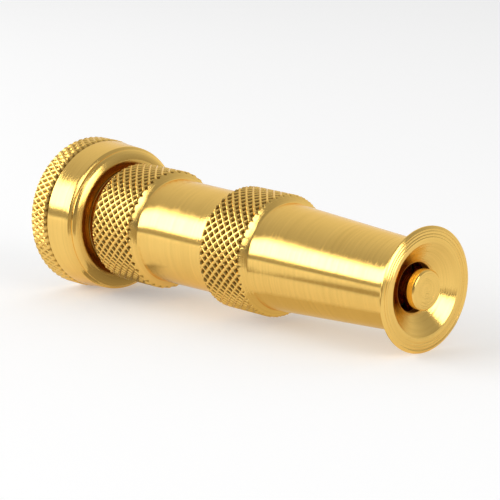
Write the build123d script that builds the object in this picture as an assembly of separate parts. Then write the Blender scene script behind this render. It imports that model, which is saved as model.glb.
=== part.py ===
from build123d import *
import os

# Brass twist nozzle for a garden hose, in millimetres.
# The axis is X: the hose screws in at x = 0 and the water leaves towards +X.
# The barrel turns on the stem's thread. Screwed back it shuts the water off,
# and screwed forward it opens from a spray to a jet.

# Barrel movement on the stem thread, from the position drawn here
THREAD_LEAD = 3.0
CLOSING_TURNS = 0.8
OPENING_TURNS = 2.2

# Clearances
SLIDE_CLEARANCE = 0.06      # radial, barrel on the stem's neck and thread
SEAL_CLEARANCE = 0.05       # around a rubber ring that slides
BORE_CLEARANCE = 0.3        # radial, barrel bore over the stem's ring land
STOP_GAP = 0.3              # barrel to the stem's flange with the nozzle shut
SHOULDER_GAP = 0.3          # axial, between steps that come close as the barrel moves
RING_SIDE_GAP = 0.15        # axial, rubber ring in its groove, each side

# Hose socket in the coupling
HOSE_THREAD_R = 13.62       # 3/4 in garden hose thread, major radius of the socket
HOSE_THREAD_LENGTH = 6.8
POCKET_DEPTH = 0.38         # radial, washer pocket behind the thread
POCKET_WALL = 1.1
FLOOR_THICKNESS = 1.8

# Coupling, outside
RIM_WIDTH = 5.4
RIM_PROUD = 0.2
RIM_CHAMFER = 0.6
RELIEF_WIDTH = 0.4
RELIEF_DEPTH = 0.35
BAND_WIDTH = 6.5
BAND_TAPER = 0.5
LIP_DROP = 0.4
LIP_STEP = 0.3
LIP_LENGTH = 2.2
LIP_WIDTH = 1.7
LIP_ROUND = 1.4
DISH_DEPTH = 1.2            # hollow in the front face that takes the barrel's end
DISH_GAP = 0.8              # radial, dish around the barrel's grip
DISH_DRAFT = 0.3

# Hose washer, for a 1 in seat
WASHER_THICKNESS = 3.2
WASHER_FIT = 0.92           # radial, washer inside the thread
WASHER_HOLE_GAP = 0.7       # radial, washer's hole around the spigot
WASHER_GAP = 0.2            # axial, from the end of the thread to the washer

# Stem
WATERWAY_R = 5.0
SPIGOT_WALL = 2.2
SPIGOT_PROUD = 0.4          # how far the spigot stands into the socket
JOINT_WASHER_THICKNESS = 0.5
FLANGE_RISE = 1.9
FLANGE_THICKNESS = 1.2
FLANGE_FIT = 0.1            # radial, flange in its recess
NECK_STEP = 0.5             # neck over the thread's mean radius
NECK_FILLET = 0.25
THREAD_STEP = 0.5           # thread's mean radius over the barrel's bore
LEAST_ENGAGEMENT = 6.0      # thread still in mesh with the barrel fully out
GROOVE_WALL = 0.95
LAND_MARGIN = 0.8           # stem either side of its ring groove
TUBE_WALL = 1.3
TUBE_CHAMFER = 0.5
NOSE_LENGTH = 10.0          # solid metal ahead of the waterway
PORT_R = 2.0
PORT_COUNT = 4
PORT_SETBACK = 4.5          # port centre behind the waterway's end

# Rubber rings, each by the radius of its round cord
STEM_RING_SECTION = 1.0
MOUTH_RING_SECTION = 0.8
SHUT_RING_SECTION = 0.9
SHUT_RING_LAP = 0.2         # shut-off ring's middle circle over the throat

# Nose tip, the pintle that the water leaves around
SHANK_R = 2.0
SHANK_LENGTH = 7.5
COLLAR_WIDTH = 0.7
COLLAR_LAP = 0.5            # how far the collar covers the shut-off ring
TIP_HEAD_R = 4.0
TIP_HEAD_LENGTH = 1.7
TIP_NECK_STEP = 1.1
TIP_CHAMFER = 0.2
TIP_UNDERCUT = 0.9
TIP_PROUD = 0.2             # tip ahead of the bell's rim

# Barrel, outside
BARREL_LENGTH = 83.6
BARREL_WALL = 1.89
WAIST_TAPER = 0.25
GRIP_HEIGHT = 1.65
GRIP_CHAMFER = 0.45
GRIP_EDGE = 0.3
GRIP_ROOT_ROUND = 1.0
REAR_GRIP_WIDTH = 11.6
FRONT_GRIP_START = 33.4
FRONT_GRIP_WIDTH = 11.4
NOSE_WALL = 1.57
BELL_FLARE = 3.3
BELL_RISE = 0.26
BELL_EDGE = 0.45
BELL_ROUND = 0.43           # radial, edge to crest
BELL_CREST_WIDTH = 1.5
BELL_LIP_WIDTH = 1.3
BELL_LIP_SLOPE = 0.2

# Barrel, inside
CONE_DEPTH = 2.9
THROAT_GAP = 0.9            # radial, throat around the tip
THROAT_LENGTH = 1.5
SEAT_LENGTH = 4.5
WATER_GAP = 0.9             # radial, behind the seat around the stem
BORE_LENGTH = 20.0
MOUTH_CHAMFER = 0.5
MOUTH_GROOVE_START = 1.2

# Radii, from the waterway outwards
spigot_r = WATERWAY_R + SPIGOT_WALL
tube_r = WATERWAY_R + TUBE_WALL
stem_ring_r = WATERWAY_R + GROOVE_WALL + STEM_RING_SECTION
bore_r = stem_ring_r + STEM_RING_SECTION + SEAL_CLEARANCE
land_r = bore_r - BORE_CLEARANCE
stem_thread_r = bore_r + THREAD_STEP
barrel_thread_r = stem_thread_r + SLIDE_CLEARANCE
neck_r = stem_thread_r + NECK_STEP
flange_r = neck_r + FLANGE_RISE
mouth_bore_r = neck_r + SLIDE_CLEARANCE
mouth_ring_r = neck_r + SEAL_CLEARANCE + MOUTH_RING_SECTION
mouth_groove_r = mouth_ring_r + MOUTH_RING_SECTION + SEAL_CLEARANCE
waist_r = mouth_bore_r + BARREL_WALL
grip_r = waist_r + GRIP_HEIGHT
throat_r = TIP_HEAD_R + THROAT_GAP
seat_r = tube_r + WATER_GAP
nose_r = seat_r + NOSE_WALL
bell_r = nose_r + BELL_FLARE + BELL_RISE
crest_r = bell_r - BELL_ROUND
bell_lip_r = crest_r - BELL_CREST_WIDTH
cone_r = bell_lip_r - BELL_LIP_WIDTH

# Radii of the coupling, which holds both the hose thread and the barrel's end
pocket_r = HOSE_THREAD_R + POCKET_DEPTH
dish_r = grip_r + DISH_GAP
lip_r = max(dish_r + LIP_WIDTH, pocket_r + POCKET_WALL)
band_front_r = lip_r + LIP_DROP
band_rear_r = band_front_r + BAND_TAPER
rim_r = band_rear_r + RIM_PROUD

# Places along the axis
relief_end = RIM_WIDTH + RELIEF_WIDTH
band_end = relief_end + BAND_WIDTH
coupling_front = band_end + LIP_STEP + LIP_LENGTH
dish_floor = coupling_front - DISH_DEPTH
floor_rear = HOSE_THREAD_LENGTH + WASHER_GAP + WASHER_THICKNESS
floor_front = floor_rear + FLOOR_THICKNESS
flange_rear = floor_front + JOINT_WASHER_THICKNESS
flange_front = flange_rear + FLANGE_THICKNESS
closing_travel = CLOSING_TURNS * THREAD_LEAD
opening_travel = OPENING_TURNS * THREAD_LEAD
barrel_rear = max(dish_floor, flange_front) + STOP_GAP + closing_travel
barrel_front = barrel_rear + BARREL_LENGTH
mouth_groove_start = barrel_rear + MOUTH_GROOVE_START
mouth_groove_end = mouth_groove_start + 2 * (MOUTH_RING_SECTION + RING_SIDE_GAP)
neck_end = mouth_groove_end + opening_travel + SHOULDER_GAP
barrel_thread_start = neck_end + closing_travel + SHOULDER_GAP
stem_thread_end = barrel_thread_start + opening_travel + LEAST_ENGAGEMENT
stem_runout_end = stem_thread_end + stem_thread_r - land_r
barrel_thread_end = stem_runout_end + closing_travel + SHOULDER_GAP
stem_groove_start = barrel_thread_end + opening_travel + LAND_MARGIN
stem_groove_end = stem_groove_start + 2 * (STEM_RING_SECTION + RING_SIDE_GAP)
land_end = stem_groove_end + LAND_MARGIN
cone_end = barrel_front - CONE_DEPTH
throat_rear = cone_end - THROAT_LENGTH
seat_rear = throat_rear - SEAT_LENGTH
tip_front = barrel_front + TIP_PROUD

# The shut-off ring meets the seat's cone as the barrel comes fully back:
# its middle then stands off the cone by its own section, square to the slope.
shut_ring_r = throat_r + SHUT_RING_LAP
seat_drop = seat_r - throat_r
stand_off = (SHUT_RING_SECTION + SEAL_CLEARANCE) * Vector(SEAT_LENGTH, seat_drop).length
shut_ring_x = (
    seat_rear - closing_travel
    + ((seat_r - shut_ring_r) * SEAT_LENGTH - stand_off) / seat_drop
)
nose_front = shut_ring_x - SHUT_RING_SECTION
waterway_end = nose_front - NOSE_LENGTH
hub_r = shut_ring_r - SHUT_RING_SECTION
collar_rear = shut_ring_x + SHUT_RING_SECTION
collar_r = hub_r + COLLAR_LAP


def turned(*corners):
    """Solid turned about X from corners (x, radius) or (x, radius, rounding)."""
    points = [corner[:2] for corner in corners]
    rounding = [corner[2] if len(corner) == 3 else 0 for corner in corners]
    return revolve(make_face(FilletPolyline(*points, radius=rounding, close=True)), Axis.X)


def rubber_ring(x, radius, section):
    """O-ring about X: its middle circle has the radius, its cord the section."""
    return revolve(Pos(x, radius) * Circle(section), Axis.X)


def flat_ring(rear, front, hole_r, outer_r):
    """Plain washer about X."""
    return turned((rear, hole_r), (rear, outer_r), (front, outer_r), (front, hole_r))


def inlet_coupling():
    """Turned socket that screws on the hose, with a rim to grip and a dished front."""
    relief_r = band_rear_r - RELIEF_DEPTH
    recess_r = flange_r + FLANGE_FIT
    return turned(
        (0, HOSE_THREAD_R),
        (0, rim_r - RIM_CHAMFER),
        (RIM_CHAMFER, rim_r),
        (RIM_WIDTH, rim_r),
        (RIM_WIDTH, relief_r),
        (relief_end, relief_r),
        (relief_end, band_rear_r),
        (band_end, band_front_r),
        (band_end + LIP_STEP, lip_r),
        (coupling_front, lip_r, LIP_ROUND),
        (coupling_front, dish_r),
        (dish_floor, dish_r - DISH_DRAFT),
        (dish_floor, recess_r),
        (floor_front, recess_r),
        (floor_front, spigot_r),
        (floor_rear, spigot_r),
        (floor_rear, pocket_r),
        (HOSE_THREAD_LENGTH, pocket_r),
        (HOSE_THREAD_LENGTH, HOSE_THREAD_R),
    )


def hose_washer():
    """Rubber washer at the bottom of the socket, which the hose end presses on."""
    hole_r = spigot_r + WASHER_HOLE_GAP
    outer_r = HOSE_THREAD_R - WASHER_FIT
    return flat_ring(floor_rear - WASHER_THICKNESS, floor_rear, hole_r, outer_r)


def joint_washer():
    """Fibre washer between the coupling's floor and the stem's flange."""
    return flat_ring(floor_front, flange_rear, spigot_r, flange_r)


def stem():
    """Hollow spindle: spigot, flange, smooth neck, thread, ring land and tube."""
    groove_r = stem_ring_r - STEM_RING_SECTION
    spigot_rear = floor_rear - SPIGOT_PROUD
    shank_hole_end = nose_front - SHANK_LENGTH - SHOULDER_GAP
    body = turned(
        (spigot_rear, WATERWAY_R),
        (spigot_rear, spigot_r),
        (flange_rear, spigot_r),
        (flange_rear, flange_r),
        (flange_front, flange_r),
        (flange_front, neck_r, NECK_FILLET),
        (neck_end, neck_r),
        (neck_end, stem_thread_r),
        (stem_thread_end, stem_thread_r),
        (stem_runout_end, land_r),
        (stem_groove_start, land_r),
        (stem_groove_start, groove_r),
        (stem_groove_end, groove_r),
        (stem_groove_end, land_r),
        (land_end, land_r),
        (land_end + land_r - tube_r, tube_r),
        (nose_front - TUBE_CHAMFER, tube_r),
        (nose_front, tube_r - TUBE_CHAMFER),
        (nose_front, SHANK_R),
        (shank_hole_end, SHANK_R),
        (shank_hole_end, 0),
        (waterway_end + WATERWAY_R / 2, 0),
        (waterway_end, WATERWAY_R),
    )
    port = Cylinder(PORT_R, tube_r + PORT_R, align=(Align.CENTER, Align.CENTER, Align.MIN))
    for number in range(PORT_COUNT):
        angle = number * 360 / PORT_COUNT
        body -= Pos(waterway_end - PORT_SETBACK, 0, 0) * Rot(angle, 0, 0) * port
    return body


def stem_ring():
    """Main seal, in the stem's groove ahead of the thread, inside the barrel's bore."""
    middle = (stem_groove_start + stem_groove_end) / 2
    return rubber_ring(middle, stem_ring_r, STEM_RING_SECTION)


def mouth_ring():
    """Seal in the barrel's mouth, which slides along the stem's neck."""
    middle = (mouth_groove_start + mouth_groove_end) / 2
    return rubber_ring(middle, mouth_ring_r, MOUTH_RING_SECTION)


def shutoff_ring():
    """Seal on the stem's nose that the barrel's seat closes on."""
    return rubber_ring(shut_ring_x, shut_ring_r, SHUT_RING_SECTION)


def nose_tip():
    """Pintle screwed into the stem's nose; its collar holds the shut-off ring."""
    head_rear = tip_front - TIP_HEAD_LENGTH
    pintle_r = TIP_HEAD_R - TIP_NECK_STEP
    collar_front = collar_rear + COLLAR_WIDTH
    return turned(
        (nose_front - SHANK_LENGTH, 0),
        (nose_front - SHANK_LENGTH, SHANK_R),
        (nose_front, SHANK_R),
        (nose_front, hub_r),
        (collar_rear, hub_r),
        (collar_rear, collar_r),
        (collar_front, collar_r),
        (collar_front + collar_r - pintle_r, pintle_r),
        (head_rear - TIP_UNDERCUT, pintle_r),
        (head_rear, TIP_HEAD_R),
        (tip_front - TIP_CHAMFER, TIP_HEAD_R),
        (tip_front, TIP_HEAD_R - TIP_CHAMFER),
        (tip_front, 0),
    )


def barrel():
    """Outer sleeve with two grips, a tapered nose and a flared bell."""
    rear_grip_end = barrel_rear + REAR_GRIP_WIDTH
    front_grip = barrel_rear + FRONT_GRIP_START
    front_grip_end = front_grip + FRONT_GRIP_WIDTH
    flare_front = barrel_front - BELL_EDGE - BELL_LIP_SLOPE
    return turned(
        (barrel_rear, mouth_bore_r + MOUTH_CHAMFER),
        (barrel_rear, grip_r - GRIP_CHAMFER),
        (barrel_rear + GRIP_CHAMFER, grip_r),
        (rear_grip_end - GRIP_EDGE, grip_r),
        (rear_grip_end, grip_r - GRIP_EDGE),
        (rear_grip_end, waist_r, GRIP_ROOT_ROUND),
        (front_grip, waist_r - WAIST_TAPER),
        (front_grip, grip_r - GRIP_CHAMFER),
        (front_grip + GRIP_CHAMFER, grip_r),
        (front_grip_end - GRIP_EDGE, grip_r),
        (front_grip_end, grip_r - GRIP_EDGE),
        (front_grip_end, waist_r, GRIP_ROOT_ROUND),
        (flare_front, nose_r, BELL_FLARE),
        (flare_front, bell_r),
        (flare_front + BELL_EDGE, bell_r),
        (barrel_front, crest_r),
        (barrel_front, bell_lip_r),
        (barrel_front - BELL_LIP_SLOPE, cone_r),
        (cone_end, throat_r),
        (throat_rear, throat_r),
        (seat_rear, seat_r),
        (barrel_thread_end + BORE_LENGTH, bore_r),
        (barrel_thread_end, bore_r),
        (barrel_thread_end, barrel_thread_r),
        (barrel_thread_start, barrel_thread_r),
        (barrel_thread_start, mouth_bore_r),
        (mouth_groove_end, mouth_bore_r),
        (mouth_groove_end, mouth_groove_r),
        (mouth_groove_start, mouth_groove_r),
        (mouth_groove_start, mouth_bore_r),
        (barrel_rear + MOUTH_CHAMFER, mouth_bore_r),
    )


pieces = {
    "inlet_coupling": inlet_coupling(),
    "hose_washer": hose_washer(),
    "joint_washer": joint_washer(),
    "stem": stem(),
    "stem_ring": stem_ring(),
    "mouth_ring": mouth_ring(),
    "shutoff_ring": shutoff_ring(),
    "nose_tip": nose_tip(),
    "barrel": barrel(),
}

os.makedirs("parts", exist_ok=True)
for name, piece in pieces.items():
    export_step(piece, f"parts/{name}.step")
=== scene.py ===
"""A twist nozzle for a garden hose, turned from brass bar: a knurled hose coupling, a hollow stem
with a cone tip on its nose, and a barrel that screws along the stem to set the spray.

The nozzle's axis is X, from the hose end towards the spray. Sections are in millimetres."""

import bmesh
import bpy
import numpy as np
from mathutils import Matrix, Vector


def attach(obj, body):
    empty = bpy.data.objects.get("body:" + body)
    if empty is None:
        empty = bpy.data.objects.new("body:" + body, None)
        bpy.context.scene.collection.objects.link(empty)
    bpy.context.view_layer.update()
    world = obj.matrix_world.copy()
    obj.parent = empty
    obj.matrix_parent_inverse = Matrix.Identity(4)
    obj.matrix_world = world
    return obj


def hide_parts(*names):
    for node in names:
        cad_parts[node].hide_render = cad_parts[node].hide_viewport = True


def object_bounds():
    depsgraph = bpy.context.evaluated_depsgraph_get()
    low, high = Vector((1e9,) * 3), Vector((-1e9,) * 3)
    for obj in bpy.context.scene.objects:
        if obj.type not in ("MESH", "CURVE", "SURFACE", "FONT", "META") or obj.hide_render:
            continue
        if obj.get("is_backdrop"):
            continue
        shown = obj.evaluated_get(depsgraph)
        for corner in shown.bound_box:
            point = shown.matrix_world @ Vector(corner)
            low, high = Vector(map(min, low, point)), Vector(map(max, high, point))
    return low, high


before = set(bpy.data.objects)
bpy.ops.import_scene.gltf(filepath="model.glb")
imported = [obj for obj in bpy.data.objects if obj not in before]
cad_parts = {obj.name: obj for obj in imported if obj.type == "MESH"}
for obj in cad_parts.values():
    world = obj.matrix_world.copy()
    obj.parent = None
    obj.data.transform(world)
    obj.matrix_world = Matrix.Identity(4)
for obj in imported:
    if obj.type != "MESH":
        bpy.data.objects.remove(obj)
cad_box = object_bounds()

# ---------------------------------------------------------------------------------------------
# Inlet coupling: a brass ring turned from bar. Its rear rim is pressed with a diamond knurl for
# the fingers, its smooth band tapers a little to a rounded lip, and its socket has the coarse
# hose thread, with a washer pocket at the bottom and a bored floor that the stem goes through.
# ---------------------------------------------------------------------------------------------
MILLIMETRE = 0.001
NEARLY_STRAIGHT = 3.13
ARC_TURN = 0.5
ARC_LENGTH = 0.22
SHARP_ANGLE = np.radians(38)
KNURL_PARTS = 10
RIM_R = 16.2
RIM_END = 4.72
RIM_CELLS = 66
RIM_PITCH = 2.65
RIM_FIRST_PIT = 0.97
RIM_PIT_DEPTH = 0.42
HOSE_THREAD_R = 13.62
HOSE_THREAD_PITCH = 2.209
HOSE_THREAD_DEPTH = 1.15
HOSE_THREAD_LENGTH = 6.8
GROOVE_R = 15.5
GROOVE_END = 5.32
LIP_START = 11.9
# Radius where the painted shade in the lip's dish begins.
DISH_SHADE_R = 14.9


def outline(corners, step, closed=True):
    """Rows (x, radius) along a section. Each corner (x, radius, rounding) is replaced by a tangent
    arc of that rounding, whose even parts turn by at most ARC_TURN and are at most ARC_LENGTH long.
    The straight runs between the arcs are divided evenly into lengths of at most step. An open
    section starts and ends on the axis."""
    places = np.array([corner[:2] for corner in corners], float)
    arcs = []
    for k, (_, _, rounding) in enumerate(corners):
        back = places[k - 1] - places[k]
        ahead = places[(k + 1) % len(places)] - places[k]
        back, ahead = back / np.linalg.norm(back), ahead / np.linalg.norm(ahead)
        opening = np.arccos(np.clip(back @ ahead, -1, 1))
        if rounding == 0 or opening > NEARLY_STRAIGHT:
            arcs.append(places[k:k + 1])
            continue
        reach = rounding / np.tan(opening / 2)
        inward = (back + ahead) / np.linalg.norm(back + ahead) * rounding / np.sin(opening / 2)
        centre = places[k] + inward
        first, last = places[k] + back * reach - centre, places[k] + ahead * reach - centre
        turn = np.pi - opening
        parts = int(np.ceil(max(turn / ARC_TURN, turn * rounding / ARC_LENGTH)))
        share = np.linspace(0, 1, parts + 1)[:, None]
        swept = first * np.sin((1 - share) * turn) + last * np.sin(share * turn)
        arcs.append(centre + swept / np.sin(turn))
    filled = []
    for k, arc in enumerate(arcs if closed else arcs[:-1]):
        start, end = arc[-1], arcs[(k + 1) % len(arcs)][0]
        parts = max(1, int(np.ceil(np.linalg.norm(end - start) / step - 1e-6)))
        filled += [arc, start + (end - start) * np.arange(1, parts)[:, None] / parts]
    return np.concatenate(filled if closed else [*filled, arcs[-1]])


def turned_mesh(name, rows, columns, shape=None, closed=True):
    """A piece turned about the X axis. Every row (x, radius) becomes a ring of as many vertices as
    columns says for it, at (x, radius cos angle, radius sin angle). shape moves them first: it
    takes x, radius and angle and gives x, radius and a weight from 0 to 1 that darkens each vertex
    with tarnish and painted shade. Two rings with as many vertices are joined by quads, and a ring
    with twice as many by triangles. A row on the axis becomes one vertex, which closes the piece."""
    counts = np.broadcast_to(columns, len(rows)).copy()
    counts[rows[:, 1] < 1e-6] = 1
    start = np.concatenate([[0], np.cumsum(counts)])
    ring = np.repeat(np.arange(len(rows)), counts)
    angle = (np.arange(start[-1]) - start[ring]) / counts[ring] * 2 * np.pi
    x, radius = rows[ring].T
    tarnish_and_shade = np.zeros(len(x))
    if shape:
        x, radius, tarnish_and_shade = shape(x, radius, angle)
    places = np.stack([x, radius * np.cos(angle), radius * np.sin(angle)], 1) * MILLIMETRE
    faces = []
    for k in range(len(rows) if closed else len(rows) - 1):
        after = (k + 1) % len(rows)
        a, b, many, more = start[k], start[after], counts[k], counts[after]
        j = np.arange(min(many, more))
        if many == more:
            if many > 1:
                i = (j + 1) % many
                faces += np.stack([a + j, a + i, b + i, b + j], 1).tolist()
        elif min(many, more) == 1:
            j = np.arange(max(many, more))
            i = (j + 1) % len(j)
            fan = [0 * j + a, b + i, b + j] if many == 1 else [a + j, a + i, 0 * j + b]
            faces += np.stack(fan, 1).tolist()
        else:
            i = (j + 1) % len(j)
            left, middle, right = 2 * j, 2 * j + 1, (2 * j + 2) % (2 * len(j))
            if many < more:
                faces += np.stack([a + j, b + middle, b + left], 1).tolist()
                faces += np.stack([a + j, a + i, b + middle], 1).tolist()
                faces += np.stack([a + i, b + right, b + middle], 1).tolist()
            else:
                faces += np.stack([a + left, a + middle, b + j], 1).tolist()
                faces += np.stack([a + middle, b + i, b + j], 1).tolist()
                faces += np.stack([a + middle, a + right, b + i], 1).tolist()
    mesh = bpy.data.meshes.new(name)
    mesh.from_pydata(places.tolist(), [], faces)
    depth = mesh.attributes.new("tarnish_and_shade", "FLOAT", "POINT")
    depth.data.foreach_set("value", tarnish_and_shade.astype(np.float32))
    mesh.shade_smooth()
    mesh.set_sharp_from_angle(angle=SHARP_ANGLE)
    piece = bpy.data.objects.new(name, mesh)
    bpy.context.scene.collection.objects.link(piece)
    return piece


def knurl(x, angle, cells, pitch, first, depth):
    """How deep a diamond knurl lies below its land. Two families of ridges cross, where cells times
    the turn plus or minus x over pitch is a whole number, and each pit falls away evenly from the
    flats of the ridges to its middle. The first pit's middle is at x = first."""
    turn, along = cells * angle / (2 * np.pi), (x - first) / pitch
    falling, rising = turn + along, turn - along
    near = np.minimum(abs(falling - np.round(falling)), abs(rising - np.round(rising)))
    return depth * np.clip((near - 0.08) / 0.38, 0, 1)


def thread(x, angle, pitch):
    """Height of a right-hand thread, from 0 in its root to 1 on its crest: a cosine wave of x over
    pitch less the turn, clipped to flats and eased at their edges."""
    wave = 0.5 - 0.5 * np.cos(2 * np.pi * x / pitch - angle)
    wave = np.clip((wave - 0.16) / 0.68, 0, 1)
    return wave * wave * (3 - 2 * wave)


def between(x, start, end, ease):
    """1 between start and end and 0 outside, with an even ramp of length ease inside each end."""
    return np.clip(np.minimum(x - start, end - x) / ease, 0, 1)


def lattice(first, pitch, start, end):
    """Places along x that divide the pitch of a knurl evenly, counted from its first pit, and lie
    between start and end."""
    part = pitch / KNURL_PARTS
    numbers = np.arange(np.ceil((start - first) / part), np.floor((end - first) / part) + 1)
    places = first + part * numbers
    return places[(places > start + part / 3) & (places < end - part / 3)]


def coupling_shape(x, radius, angle):
    """The rim loses the knurl's pits, and the socket's wall stands in by the hose thread, which
    starts past the mouth and runs out before the washer pocket. The pits are darkened partly as
    tarnish and partly as painted shade; the groove beside the rim, and the dish inside the lip
    further in towards the barrel, are darkened as painted shade."""
    on_rim = (radius > RIM_R - 0.8) & (x < RIM_END + 0.44)
    pits = np.where(on_rim, knurl(x, angle, RIM_CELLS, RIM_PITCH, RIM_FIRST_PIT, RIM_PIT_DEPTH), 0)
    in_socket = (abs(radius - HOSE_THREAD_R) < 0.01) & (x < HOSE_THREAD_LENGTH)
    crest = thread(x, angle, HOSE_THREAD_PITCH) * between(x, 0.5, HOSE_THREAD_LENGTH, 0.9)
    crest = np.where(in_socket, crest, 0)
    # Painted shade: the groove beside the rim, and the lip's dish, darker further in towards the
    # barrel.
    in_groove = (x > RIM_END + 0.3) & (x < GROOVE_END + 0.03)
    in_groove &= (radius > GROOVE_R - 0.2) & (radius < GROOVE_R + 0.25)
    dish_shade = np.where(x > LIP_START, np.clip((DISH_SHADE_R - radius) / 3.0, 0, 1), 0)
    # The pits' darkening is partly tarnish and partly painted shade.
    tarnish_and_shade = 0.6 * pits / RIM_PIT_DEPTH + 0.35 * in_groove + 0.48 * dish_shade
    return x, np.minimum(radius, RIM_R - pits) - HOSE_THREAD_DEPTH * crest, tarnish_and_shade


class Wire:
    """One output of a shader tree. A sum, difference, product or quotient of wires and numbers
    adds a Math node."""

    def __init__(self, finish, socket):
        self.finish = finish
        self.socket = socket

    def math(self, operation, *others):
        values = {k: value for k, value in enumerate((self, *others))}
        return self.finish.node("Math", {"operation": operation}, values)

    def reflected(self, operation, other):
        return self.finish.node("Math", {"operation": operation}, {0: other, 1: self})

    def __add__(self, other):
        return self.math("ADD", other)

    def __radd__(self, other):
        return self.reflected("ADD", other)

    def __sub__(self, other):
        return self.math("SUBTRACT", other)

    def __rsub__(self, other):
        return self.reflected("SUBTRACT", other)

    def __mul__(self, other):
        return self.math("MULTIPLY", other)

    def __rmul__(self, other):
        return self.reflected("MULTIPLY", other)

    def __truediv__(self, other):
        return self.math("DIVIDE", other)

    def held(self):
        """The value kept between 0 and 1."""
        return self.finish.node("Clamp", {}, {0: self})


class Finish:
    """The node tree of one material, or of the world."""

    def __init__(self, owner):
        owner.use_nodes = True
        self.owner = owner
        self.tree = owner.node_tree
        self.tree.nodes.clear()

    def node(self, kind, settings, values, output=0):
        """One node: its settings are set first, then a number or a wire goes into each named or
        numbered socket. Its numbered output comes back as a wire."""
        made = self.tree.nodes.new("ShaderNode" + kind)
        for key, value in settings.items():
            setattr(made, key, value)
        for key, value in values.items():
            if isinstance(value, Wire):
                self.tree.links.new(value.socket, made.inputs[key])
            else:
                made.inputs[key].default_value = value
        return Wire(self, made.outputs[output])

    def mixed(self, share, first, second):
        """A colour between two colours."""
        return self.node("Mix", {"data_type": "RGBA"}, {0: share, 6: first, 7: second}, 2)

    def end(self, kind, surface):
        """The finished material or world, with the surface in its output node."""
        self.tree.links.new(surface.socket, self.tree.nodes.new(kind).inputs[0])
        return self.owner


BRASS = (0.890, 0.578, 0.158, 1)
BRASS_DULL = (0.740, 0.462, 0.110, 1)
BRASS_EDGE = (1.0, 0.88, 0.66, 1)
# Dark brass: tarnish and painted shade in the pits, painted shade in grooves and recesses.
BRASS_TARNISH_AND_SHADE = (0.220, 0.092, 0.002, 1)
MARK_HEIGHT = 0.000036


def brass(name, mark_height=1.0, polish=0.12, bore=0.0):
    """Turned brass. Lathe marks are noise that changes fast along the axis and the radius and
    slowly round the turn, as a bump. Broad clouds of handling dull the colour and the polish a
    little, and the same marks streak both. A weight on each piece darkens the colour towards dark
    brass, as tarnish and painted shade, and makes it rougher. Up to 5 mm from the axis the surface
    is rougher by bore, which fades out by 5.8 mm."""
    finish = Finish(bpy.data.materials.new(name))
    place = finish.node("TexCoord", {}, {}, 3)
    along = finish.node("SeparateXYZ", {}, {0: place}, 0)
    side = finish.node("SeparateXYZ", {}, {0: place}, 1)
    height = finish.node("SeparateXYZ", {}, {0: place}, 2)
    radius = (side * side + height * height).math("SQRT") + 1e-6

    def marks(per_metre, round_turn, detail):
        where = finish.node("CombineXYZ", {}, {
            0: along * per_metre,
            1: radius * per_metre,
            2: side / radius * round_turn,
        })
        return finish.node("TexNoise", {"noise_dimensions": "4D"}, {
            "Vector": where,
            "W": height / radius * round_turn,
            "Scale": 1.0,
            "Detail": detail,
            "Roughness": 0.6,
        })

    fine = marks(per_metre=7000, round_turn=0.6, detail=2.0)
    coarse = marks(per_metre=2300, round_turn=0.3, detail=3.0)
    clouds = finish.node("TexNoise", {}, {
        "Vector": place, "Scale": 95.0, "Detail": 4.0, "Roughness": 0.55,
    })
    # Tarnish and painted shade: the piece's weight mixes the colour towards dark brass.
    tarnish_and_shade = finish.node("Attribute", {"attribute_name": "tarnish_and_shade"}, {}, 2)
    dull = (clouds - 0.5 + (coarse - 0.5) * 1.6 + (fine - 0.5) * 1.4 + 0.25).held()
    colour = finish.mixed(dull * 0.8, BRASS, BRASS_DULL)
    colour = finish.mixed((tarnish_and_shade * 1.5 - 0.13).held(), colour, BRASS_TARNISH_AND_SHADE)
    rough = polish + dull * 0.05 + (fine - 0.5) * 0.10 + tarnish_and_shade * 0.18
    if bore:
        rough = rough + ((0.0058 - radius) * 1250).held() * bore
    bump = finish.node("Bump", {}, {
        "Strength": 1.0,
        "Distance": MARK_HEIGHT * mark_height,
        "Height": fine * 0.8 + coarse * 0.4,
    })
    surface = finish.node("BsdfPrincipled", {}, {
        "Base Color": colour,
        "Metallic": 1.0,
        "Specular Tint": BRASS_EDGE,
        "Roughness": rough,
        "Normal": bump,
    })
    return finish.end("ShaderNodeOutputMaterial", surface)


hose_thread_x = np.arange(HOSE_THREAD_LENGTH - 0.2, 0.55, -HOSE_THREAD_PITCH / 14)
coupling_rows = outline([
    (0.0, 15.55, 0.12),
    (0.6, RIM_R, 0),
    *[(x, RIM_R, 0) for x in lattice(RIM_FIRST_PIT, RIM_PITCH, 0.65, RIM_END - 0.1)],
    (RIM_END - 0.05, RIM_R, 0),
    (RIM_END + 0.42, GROOVE_R, 0.12),
    (GROOVE_END, GROOVE_R, 0.05),
    (5.36, 15.70, 0.04),
    (5.74, 15.97, 0.05),
    (LIP_START, 15.52, 0.05),
    (12.32, 14.86, 0.06),
    (12.85, 14.98, 0.15),
    (13.38, 14.25, 1.6),
    (13.82, 13.10, 1.6),
    (13.84, 12.25, 1.0),
    (13.6, 11.05, 0.08),
    (12.0, 11.0, 0.1),
    (12.0, 7.25, 0.06),
    (10.2, 7.25, 0.08),
    (10.2, 14.0, 0.25),
    (HOSE_THREAD_LENGTH, 14.0, 0.05),
    (HOSE_THREAD_LENGTH - 0.02, HOSE_THREAD_R, 0),
    *[(x, HOSE_THREAD_R, 0) for x in hose_thread_x],
    (0.45, HOSE_THREAD_R, 0),
    (0.0, 14.1, 0.05),
], 0.7)
knurled = (coupling_rows[:, 1] > RIM_R - 0.1) & (coupling_rows[:, 0] < RIM_END)
coupling = turned_mesh(
    "inlet_coupling_turned",
    coupling_rows,
    np.where(knurled, KNURL_PARTS * RIM_CELLS, KNURL_PARTS * RIM_CELLS // 2),
    coupling_shape,
)
coupling.data.materials.append(brass("coupling_brass"))
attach(coupling, "inlet")
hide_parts("inlet_coupling")

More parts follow.
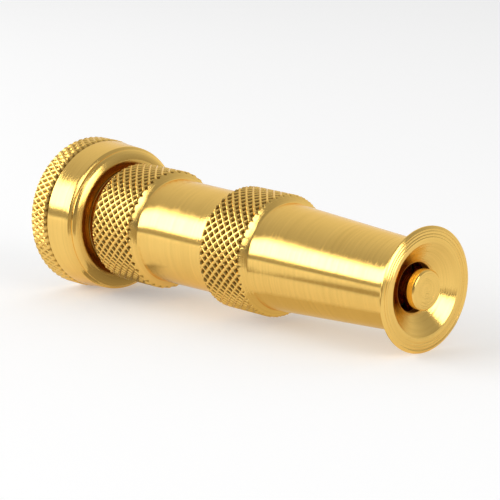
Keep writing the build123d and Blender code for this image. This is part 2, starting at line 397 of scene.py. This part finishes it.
# ---------------------------------------------------------------------------------------------
# Hose washer: a moulded black rubber ring that drops into the pocket behind the hose thread and
# is pinched by the end of the hose.
# ---------------------------------------------------------------------------------------------
RUBBER = (0.016, 0.016, 0.017, 1)
RUBBER_WORN = (0.034, 0.033, 0.032, 1)


def rubber(name):
    """Moulded rubber: nearly black, with a fine grain in its bump and paler where it has rubbed."""
    finish = Finish(bpy.data.materials.new(name))
    place = finish.node("TexCoord", {}, {}, 3)
    grain = finish.node("TexNoise", {}, {"Vector": place, "Scale": 3500.0, "Detail": 3.0})
    rubbed = finish.node("TexNoise", {}, {"Vector": place, "Scale": 420.0, "Detail": 4.0})
    surface = finish.node("BsdfPrincipled", {}, {
        "Base Color": finish.mixed(((rubbed - 0.4) * 2.5).held(), RUBBER, RUBBER_WORN),
        "Roughness": 0.42 + rubbed * 0.25,
        "Normal": finish.node("Bump", {}, {"Distance": 0.00002, "Height": grain}),
    })
    return finish.end("ShaderNodeOutputMaterial", surface)


rubber_finish = rubber("black_rubber")
hose_washer = turned_mesh("hose_washer_moulded", outline([
    (7.0, 7.9, 0.35),
    (7.0, 9.5, 0.1),
    (7.15, 9.8, 0.1),
    (7.15, 11.4, 0.1),
    (7.0, 11.7, 0.1),
    (7.0, 12.7, 0.35),
    (10.2, 12.7, 0.35),
    (10.2, 7.9, 0.35),
], 0.5), 120)
hose_washer.data.materials.append(rubber_finish)
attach(hose_washer, "inlet")
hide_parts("hose_washer")

# ---------------------------------------------------------------------------------------------
# Joint washer: a flat ring stamped from red vulcanised fibre, clamped between the coupling's
# floor and the stem's flange.
# ---------------------------------------------------------------------------------------------
FIBRE = (0.240, 0.055, 0.030, 1)
FIBRE_PALE = (0.360, 0.110, 0.060, 1)
fibre = Finish(bpy.data.materials.new("red_fibre"))
fibre_place = fibre.node("TexCoord", {}, {}, 3)
fibre_fleck = fibre.node("TexNoise", {}, {"Vector": fibre_place, "Scale": 1600.0, "Detail": 5.0})
fibre_surface = fibre.node("BsdfPrincipled", {}, {
    "Base Color": fibre.mixed(((fibre_fleck - 0.4) * 3).held(), FIBRE, FIBRE_PALE),
    "Roughness": 0.6 + fibre_fleck * 0.2,
    "Normal": fibre.node("Bump", {}, {"Distance": 0.00003, "Height": fibre_fleck}),
})
joint_washer = turned_mesh("joint_washer_stamped", outline([
    (12.0, 7.25, 0.06),
    (12.0, 10.85, 0.1),
    (12.5, 10.85, 0.1),
    (12.5, 7.25, 0.06),
], 0.6), 120)
joint_washer.data.materials.append(fibre.end("ShaderNodeOutputMaterial", fibre_surface))
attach(joint_washer, "inlet")
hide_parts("joint_washer")

# ---------------------------------------------------------------------------------------------
# Stem: a hollow brass spindle. Its spigot is swaged into the coupling against its flange, its
# middle has the coarse thread that the barrel runs on, a groove holds its ring seal, and four
# drilled ports near its blind nose let the water out into the barrel.
# ---------------------------------------------------------------------------------------------
LEAD = 3.0
STEM_THREAD_START = 26.4
STEM_THREAD_END = 41.7
STEM_THREAD_ROOT_R = 8.12
STEM_THREAD_CREST_R = 8.86
PORT_R = 2.0
PORT_X = 75.32
PORT_DEPTHS = (3.2, 8.2)


def stem_shape(x, radius, angle):
    """The thread stands out from its root by a right-hand wave that fades at both ends. The flange
    and the neck behind the barrel are darkened as painted shade up to 15.5 mm, fading out by 17 mm."""
    on_thread = abs(radius - STEM_THREAD_ROOT_R) < 0.01
    crest = thread(x, angle, LEAD) * between(x, STEM_THREAD_START, STEM_THREAD_END, 0.8)
    crest = np.where(on_thread, crest, 0)
    # Painted shade on the flange and neck behind the barrel.
    tarnish_and_shade = 0.3 * np.clip((17.0 - x) / 1.5, 0, 1)
    return x, radius + (STEM_THREAD_CREST_R - STEM_THREAD_ROOT_R) * crest, tarnish_and_shade


stem_thread_x = np.arange(STEM_THREAD_START + 0.25, STEM_THREAD_END - 0.1, LEAD / 12)
stem = turned_mesh("stem_turned", outline([
    (9.8, 5.0, 0.15),
    (9.8, 7.2, 0.2),
    (12.5, 7.2, 0),
    (12.5, 10.9, 0.12),
    (13.7, 10.9, 0.15),
    (13.7, 9.0, 0.25),
    (STEM_THREAD_START - 0.5, 9.0, 0.1),
    (STEM_THREAD_START, STEM_THREAD_ROOT_R, 0),
    *[(x, STEM_THREAD_ROOT_R, 0) for x in stem_thread_x],
    (STEM_THREAD_END, STEM_THREAD_ROOT_R, 0),
    (42.5, 7.7, 0.2),
    (52.6, 7.7, 0.1),
    (52.6, 5.95, 0.15),
    (54.9, 5.95, 0.15),
    (54.9, 7.7, 0.1),
    (55.7, 7.7, 0.1),
    (57.1, 6.3, 0.4),
    (89.32, 6.3, 0.1),
    (89.82, 5.8, 0.1),
    (89.82, 2.0, 0),
    (82.02, 2.0, 0),
    (82.02, 0.6, 0),
    (79.82, 5.0, 0),
], 1.2), 128, stem_shape)


def ports():
    """Four drilled holes as closed pegs: rings of radius PORT_R round each of four directions
    square to the axis, from inside the bore to outside the wall, capped at both ends. The rings
    start a little off the axis, so that no edge of a peg runs along one of the stem's."""
    count = 40
    turn = (np.arange(count) + 0.37) / count * 2 * np.pi
    ends = np.repeat(PORT_DEPTHS, count)
    u, v = PORT_X + PORT_R * np.cos(np.tile(turn, 2)), PORT_R * np.sin(np.tile(turn, 2))
    places, faces = [], []
    j = np.arange(count)
    i = (j + 1) % count
    for quarter in range(4):
        angle = quarter * np.pi / 2
        y, z = np.array([[np.cos(angle), np.sin(angle)], [-np.sin(angle), np.cos(angle)]])
        places.append(np.stack([u, ends * y[0] + v * z[0], ends * y[1] + v * z[1]], 1))
        first = quarter * 2 * count
        faces += (first + np.stack([j, i, count + i, count + j], 1)).tolist()
        faces += [(first + j[::-1]).tolist(), (first + count + j).tolist()]
    mesh = bpy.data.meshes.new("stem_ports")
    mesh.from_pydata((np.concatenate(places) * MILLIMETRE).tolist(), [], faces)
    return bpy.data.objects.new("stem_ports", mesh)


def cut(piece, cutter):
    """Takes the cutter out of the piece, and leaves the finished mesh on the piece, without the
    slivers that lie along the cut."""
    bpy.context.scene.collection.objects.link(cutter)
    modifier = piece.modifiers.new("cut", "BOOLEAN")
    modifier.object = cutter
    modifier.solver = "EXACT"
    bpy.context.view_layer.update()
    depsgraph = bpy.context.evaluated_depsgraph_get()
    done = bpy.data.meshes.new_from_object(piece.evaluated_get(depsgraph))
    piece.modifiers.clear()
    shell = bmesh.new()
    shell.from_mesh(done)
    bmesh.ops.triangulate(shell, faces=shell.faces)
    bmesh.ops.remove_doubles(shell, verts=shell.verts, dist=3e-6)
    bmesh.ops.dissolve_degenerate(shell, edges=shell.edges, dist=1e-6)
    shell.to_mesh(done)
    shell.free()
    piece.data = done
    bpy.data.objects.remove(cutter)


cut(stem, ports())
stem.data.set_sharp_from_angle(angle=SHARP_ANGLE)
stem.data.materials.clear()
stem.data.materials.append(brass("stem_brass", mark_height=1.2, polish=0.2))
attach(stem, "inlet")
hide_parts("stem")


# ---------------------------------------------------------------------------------------------
# Ring seals: three moulded rubber rings. One sits in the stem's groove and wipes the barrel's
# bore, one stands on the nose and closes on the barrel's seat, and one rides in the barrel's
# mouth and keeps grit off the thread.
# ---------------------------------------------------------------------------------------------
def ring_seal(name, body, node, x, middle_r, cord_r):
    """A torus: its section is a circle of radius cord_r about (x, middle_r)."""
    turn = np.arange(28) / 28 * 2 * np.pi
    rows = np.stack([x - cord_r * np.cos(turn), middle_r + cord_r * np.sin(turn)], 1)
    seal = turned_mesh(name, rows, 112)
    seal.data.materials.append(rubber_finish)
    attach(seal, body)
    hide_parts(node)


ring_seal("stem_ring_moulded", "inlet", "stem_ring", 53.75, 6.95, 1.0)
ring_seal("shutoff_ring_moulded", "inlet", "shutoff_ring", 90.721, 5.1, 0.9)
ring_seal("mouth_ring_moulded", "barrel_carrier", "mouth_ring", 18.55, 9.85, 0.8)


# ---------------------------------------------------------------------------------------------
# Nose tip: a small turned brass cone that is pressed into the stem's nose and holds the shut-off
# ring. Its head fills the barrel's throat and shapes the spray.
# ---------------------------------------------------------------------------------------------
def faced(start, end, pitch, height):
    """Rows from start to end, (x, radius) each, with the fine rings that a facing tool leaves: a
    cosine wave of that pitch and height stands out square to the line, five rows to a ring."""
    start, end = np.array(start), np.array(end)
    length = np.linalg.norm(end - start)
    square = np.array([start[1] - end[1], end[0] - start[0]]) / length
    rings = round(length / pitch)
    share = np.linspace(0, 1, rings * 5 + 1)[:, None]
    wave = 0.5 - 0.5 * np.cos(2 * np.pi * share * rings)
    return [(*row, 0) for row in (start + (end - start) * share - square * height * wave).tolist()]


nose_tip = turned_mesh("nose_tip_turned", outline([
    (82.32, 0.0, 0),
    (82.32, 2.0, 0.15),
    (89.82, 2.0, 0),
    (89.82, 4.2, 0.05),
    (91.62, 4.2, 0.1),
    (91.62, 4.7, 0.1),
    (92.32, 4.7, 0.2),
    (94.12, 2.9, 0.5),
    (97.6, 2.9, 0.4),
    (98.5, 4.0, 0.15),
    (99.88, 4.0, 0.05),
    (100.2, 3.68, 0.05),
    *faced((100.19, 3.5), (100.04, 0.1), 0.30, 0.020),
    (100.03, 0.0, 0),
], 0.4, closed=False), 160, closed=False)
nose_tip.data.materials.append(brass("nose_tip_brass", mark_height=1.6, polish=0.14))
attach(nose_tip, "inlet")
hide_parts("nose_tip")

# ---------------------------------------------------------------------------------------------
# Barrel: the long brass sleeve that the hand turns. Two grip rings are pressed with a diamond
# knurl, the nose tapers and flares to a bell, and the bell's mouth is faced in steps and coned
# down to the throat. Inside are the thread, the bore for the stem's ring and the seat.
# ---------------------------------------------------------------------------------------------
GRIP_R = 12.6
GRIP_CELLS = 40
GRIP_PITCH = 2.0
GRIP_PIT_DEPTH = 0.62
GRIP_CHAMFER = 0.30
SHOULDER_SLOPE = 1.57
SHOULDER_RUNS = (0, 0.09, 0.18, 0.27, 0.36)
BELL_R = 12.33
REAR_GRIP = (16.4, 28.0)
FRONT_GRIP = (49.8, 61.2)
REAR_FIRST_PIT = 17.0
FRONT_FIRST_PIT = 50.6
BARREL_THREAD = (29.1, 45.2)
BARREL_THREAD_ROOT_R = 9.02
BARREL_THREAD_CREST_R = 8.28


def on_grip(x, radius, start, end):
    """Whether a place is on a grip's land, its chamfer or the top of its shoulder."""
    return (x > start - 0.01) & (x < end + 0.38) & (radius > GRIP_R - 0.69)


def barrel_shape(x, radius, angle):
    """The two grips lose the knurl's pits. The bore's thread stands in from its root by the stem
    thread's own wave, turned inside out, so that the two run in each other. The pits are darkened
    partly as tarnish and partly as painted shade, and the sleeve's rear face as painted shade."""
    sunk = radius.copy()
    for ends, first in ((REAR_GRIP, REAR_FIRST_PIT), (FRONT_GRIP, FRONT_FIRST_PIT)):
        land = GRIP_R - knurl(x, angle, GRIP_CELLS, GRIP_PITCH, first, GRIP_PIT_DEPTH)
        sunk = np.where(on_grip(x, radius, *ends), np.minimum(sunk, land), sunk)
    # Painted shade on the sleeve's rear face; the pits' darkening is partly tarnish and partly
    # painted shade.
    rear_face = (x < REAR_GRIP[0] + 0.05) & (radius < 12.1)
    tarnish_and_shade = (radius - sunk) / GRIP_PIT_DEPTH + 0.3 * rear_face
    on_thread = abs(radius - BARREL_THREAD_ROOT_R) < 0.01
    crest = (1 - thread(x, angle, LEAD)) * between(x, *BARREL_THREAD, 0.8)
    crest = np.where(on_thread, crest, 0)
    return x, sunk - (BARREL_THREAD_ROOT_R - BARREL_THREAD_CREST_R) * crest, tarnish_and_shade


def grip_corners(start, end, first):
    """One grip, from its rear chamfer over the knurled land to the top of its front shoulder, which
    falls by SHOULDER_SLOPE times its run."""
    shoulder_r = GRIP_R - 0.10
    return [
        (start, GRIP_R - GRIP_CHAMFER, 0),
        (start + GRIP_CHAMFER, GRIP_R, 0),
        *[(x, GRIP_R, 0) for x in lattice(first, GRIP_PITCH, start + 0.35, end - 0.3)],
        (end - 0.12, GRIP_R, 0),
        *[(end + run, shoulder_r - SHOULDER_SLOPE * run, 0) for run in SHOULDER_RUNS],
    ]


barrel_thread_x = np.arange(BARREL_THREAD[1] - 0.25, BARREL_THREAD[0] + 0.1, -LEAD / 9)
barrel_rows = outline([
    (REAR_GRIP[0], 9.56, 0.1),
    *grip_corners(*REAR_GRIP, REAR_FIRST_PIT),
    (29.0, 10.93, 0.35),
    (FRONT_GRIP[0], 10.70, 0.15),
    *grip_corners(*FRONT_GRIP, FRONT_FIRST_PIT),
    (62.2, 10.95, 0.35),
    (99.35, 8.77, 3.3),
    (99.35, BELL_R, 0.05),
    (99.64, BELL_R, 0.05),
    (99.98, 11.80, 0.06),
    (99.86, 11.50, 0.04),
    (99.99, 11.32, 0.04),
    (99.87, 10.90, 0.04),
    (99.99, 10.70, 0.04),
    (99.88, 10.34, 0.04),
    (99.98, 10.16, 0.04),
    (99.84, 9.20, 0.06),
    *faced((99.78, 9.08), (97.15, 4.97), 0.44, 0.007),
    (97.1, 4.9, 0.2),
    (95.6, 4.9, 0.3),
    (91.1, 7.2, 0.4),
    (65.2, 8.0, 0.2),
    (45.3, 8.0, 0.2),
    (BARREL_THREAD[1], BARREL_THREAD_ROOT_R, 0),
    *[(x, BARREL_THREAD_ROOT_R, 0) for x in barrel_thread_x],
    (BARREL_THREAD[0], BARREL_THREAD_ROOT_R, 0),
    (29.0, 9.06, 0),
    (19.5, 9.06, 0.1),
    (19.5, 10.7, 0.15),
    (17.6, 10.7, 0.15),
    (17.6, 9.06, 0.1),
    (16.9, 9.06, 0.1),
], 4.0)
gripped = on_grip(*barrel_rows.T, *REAR_GRIP) | on_grip(*barrel_rows.T, *FRONT_GRIP)
barrel = turned_mesh(
    "barrel_turned",
    barrel_rows,
    np.where(gripped, KNURL_PARTS * GRIP_CELLS, KNURL_PARTS * GRIP_CELLS // 2),
    barrel_shape,
)
barrel.data.materials.append(brass("barrel_brass", bore=0.25))
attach(barrel, "barrel")
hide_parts("barrel")

# ---------------------------------------------------------------------------------------------
# Stage: a pale floor that the rim and the bell both touch, dim cards on it that only reflections
# see, which paint a darker floor in front and the nozzle's own shadow under it into reflections,
# a pale room that is brighter behind the nozzle and dimmer on the spray's side, and two soft
# boxes, one to each side, that lie low and wide.
# ---------------------------------------------------------------------------------------------
RIM_REST_X = 5.4
BELL_REST_X = 99.6
FLOOR_RISE = (RIM_R - BELL_R) / (BELL_REST_X - RIM_REST_X)
FLOOR_HALF = 4
FLOOR_GLOW = 0.29
FLOOR_COLOUR = (0.74, 0.74, 0.74, 1)
CARD_LIFT = 0.0002
ROOM_GLOW = 0.68
ROOM_GLOW_BEHIND = 0.36
ROOM_GLOW_LEAST = 0.2
ROOM_DIMMING = 0.45
MIDDLE = Vector((0.05, 0, 0))


def floor_height(x):
    """The floor's height at x, in metres: a plane that leans, because the rim is wider than the
    bell."""
    return -RIM_R * MILLIMETRE + (x - RIM_REST_X * MILLIMETRE) * FLOOR_RISE


def flat_card(name, near, far, left, right, lift=0.0):
    """A rectangle on the floor, or just above it, between two places along x and two along y."""
    corners = ((near, left), (far, left), (far, right), (near, right))
    mesh = bpy.data.meshes.new(name)
    mesh.from_pydata([(x, y, floor_height(x) + lift) for x, y in corners], [], [(0, 1, 2, 3)])
    card = bpy.data.objects.new(name, mesh)
    bpy.context.scene.collection.objects.link(card)
    card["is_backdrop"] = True
    return card


floor = flat_card("floor", -FLOOR_HALF, FLOOR_HALF, -FLOOR_HALF, FLOOR_HALF)
floor_finish = Finish(bpy.data.materials.new("pale_floor"))
floor_surface = floor_finish.node("BsdfPrincipled", {}, {
    "Base Color": FLOOR_COLOUR,
    "Roughness": 0.9,
    "Specular IOR Level": 0.0,
    "Emission Color": (1, 1, 1, 1),
    "Emission Strength": FLOOR_GLOW,
})
floor.data.materials.append(floor_finish.end("ShaderNodeOutputMaterial", floor_surface))


def reflected_shade_card(name, near, far, left, right, glow):
    """A card that only reflections see, with an even dim glow: painted shade in the reflections."""
    card = flat_card(name, near, far, left, right, CARD_LIFT)
    card.visible_camera = card.visible_diffuse = card.visible_shadow = False
    finish = Finish(bpy.data.materials.new(name))
    surface = finish.node("Emission", {}, {0: (*glow, 1), 1: 1.0})
    card.data.materials.append(finish.end("ShaderNodeOutputMaterial", surface))


# Painted shade seen only in reflections: a darker floor ahead of the nozzle, and its own shadow
# under the lip and the nose.
reflected_shade_card("front_shade_card", 0.042, 1.5, -1.2, -0.036, glow=(0.46, 0.42, 0.35))
reflected_shade_card("lip_shade", 0.013, 0.024, -0.012, 0.020, glow=(0.36, 0.32, 0.26))
reflected_shade_card("nose_shade", 0.053, 0.097, -0.012, 0.020, glow=(0.68, 0.60, 0.46))

room = Finish(bpy.data.worlds.new("pale_room"))
towards = room.node("TexCoord", {}, {}, 0)
behind = room.node("SeparateXYZ", {}, {0: towards}, 1)
sideways = room.node("SeparateXYZ", {}, {0: towards}, 0)
shade = 1 - ROOM_DIMMING * (sideways * 1.1 + 0.33).held()
brightness = ((ROOM_GLOW + behind * ROOM_GLOW_BEHIND) * shade).math("MAXIMUM", ROOM_GLOW_LEAST)
room_surface = room.node("Background", {}, {0: (1, 1, 1, 1), 1: brightness})
bpy.context.scene.world = room.end("ShaderNodeOutputWorld", room_surface)


def soft_box(name, centre, width, height, radiance):
    """A rectangular light that faces the middle of the nozzle."""
    light = bpy.data.lights.new(name, "AREA")
    light.shape = "RECTANGLE"
    light.size, light.size_y = width, height
    light.energy = radiance * width * height * np.pi
    lamp = bpy.data.objects.new(name, light)
    lamp.location = centre
    lamp.rotation_mode = "QUATERNION"
    lamp.rotation_quaternion = (Vector(centre) - MIDDLE).to_track_quat("Z", "Y")
    lamp.visible_camera = False
    bpy.context.scene.collection.objects.link(lamp)


soft_box("left_soft_box", (-0.672, -0.585, 0.358), width=1.25, height=0.455, radiance=4.4)
soft_box("right_soft_box", (1.03, -0.05, 0.37), width=0.61, height=0.555, radiance=4.3)

CAMERA_PLACE = Vector((0.3820, -0.3157, 0.1071))
CAMERA_FORWARD = Vector((-0.70377, 0.67248, -0.22900))
FOCAL_LENGTH = 165.6
FILM_WIDTH = 36.0
lens = bpy.data.cameras.new("camera")
lens.lens = FOCAL_LENGTH
lens.sensor_width = FILM_WIDTH
lens.clip_start, lens.clip_end = 0.01, 50.0
camera = bpy.data.objects.new("camera", lens)
camera.location = CAMERA_PLACE
camera.rotation_mode = "QUATERNION"
camera.rotation_quaternion = CAMERA_FORWARD.to_track_quat("-Z", "Y")
bpy.context.scene.collection.objects.link(camera)
bpy.context.scene.camera = camera
bpy.context.scene.view_settings.view_transform = "Standard"
bpy.context.scene.cycles.max_bounces = 16
bpy.context.scene.cycles.glossy_bounces = 16

boxes = {"cad": cad_box, "visual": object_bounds()}
boxes = {name: [list(corner) for corner in box] for name, box in boxes.items()}
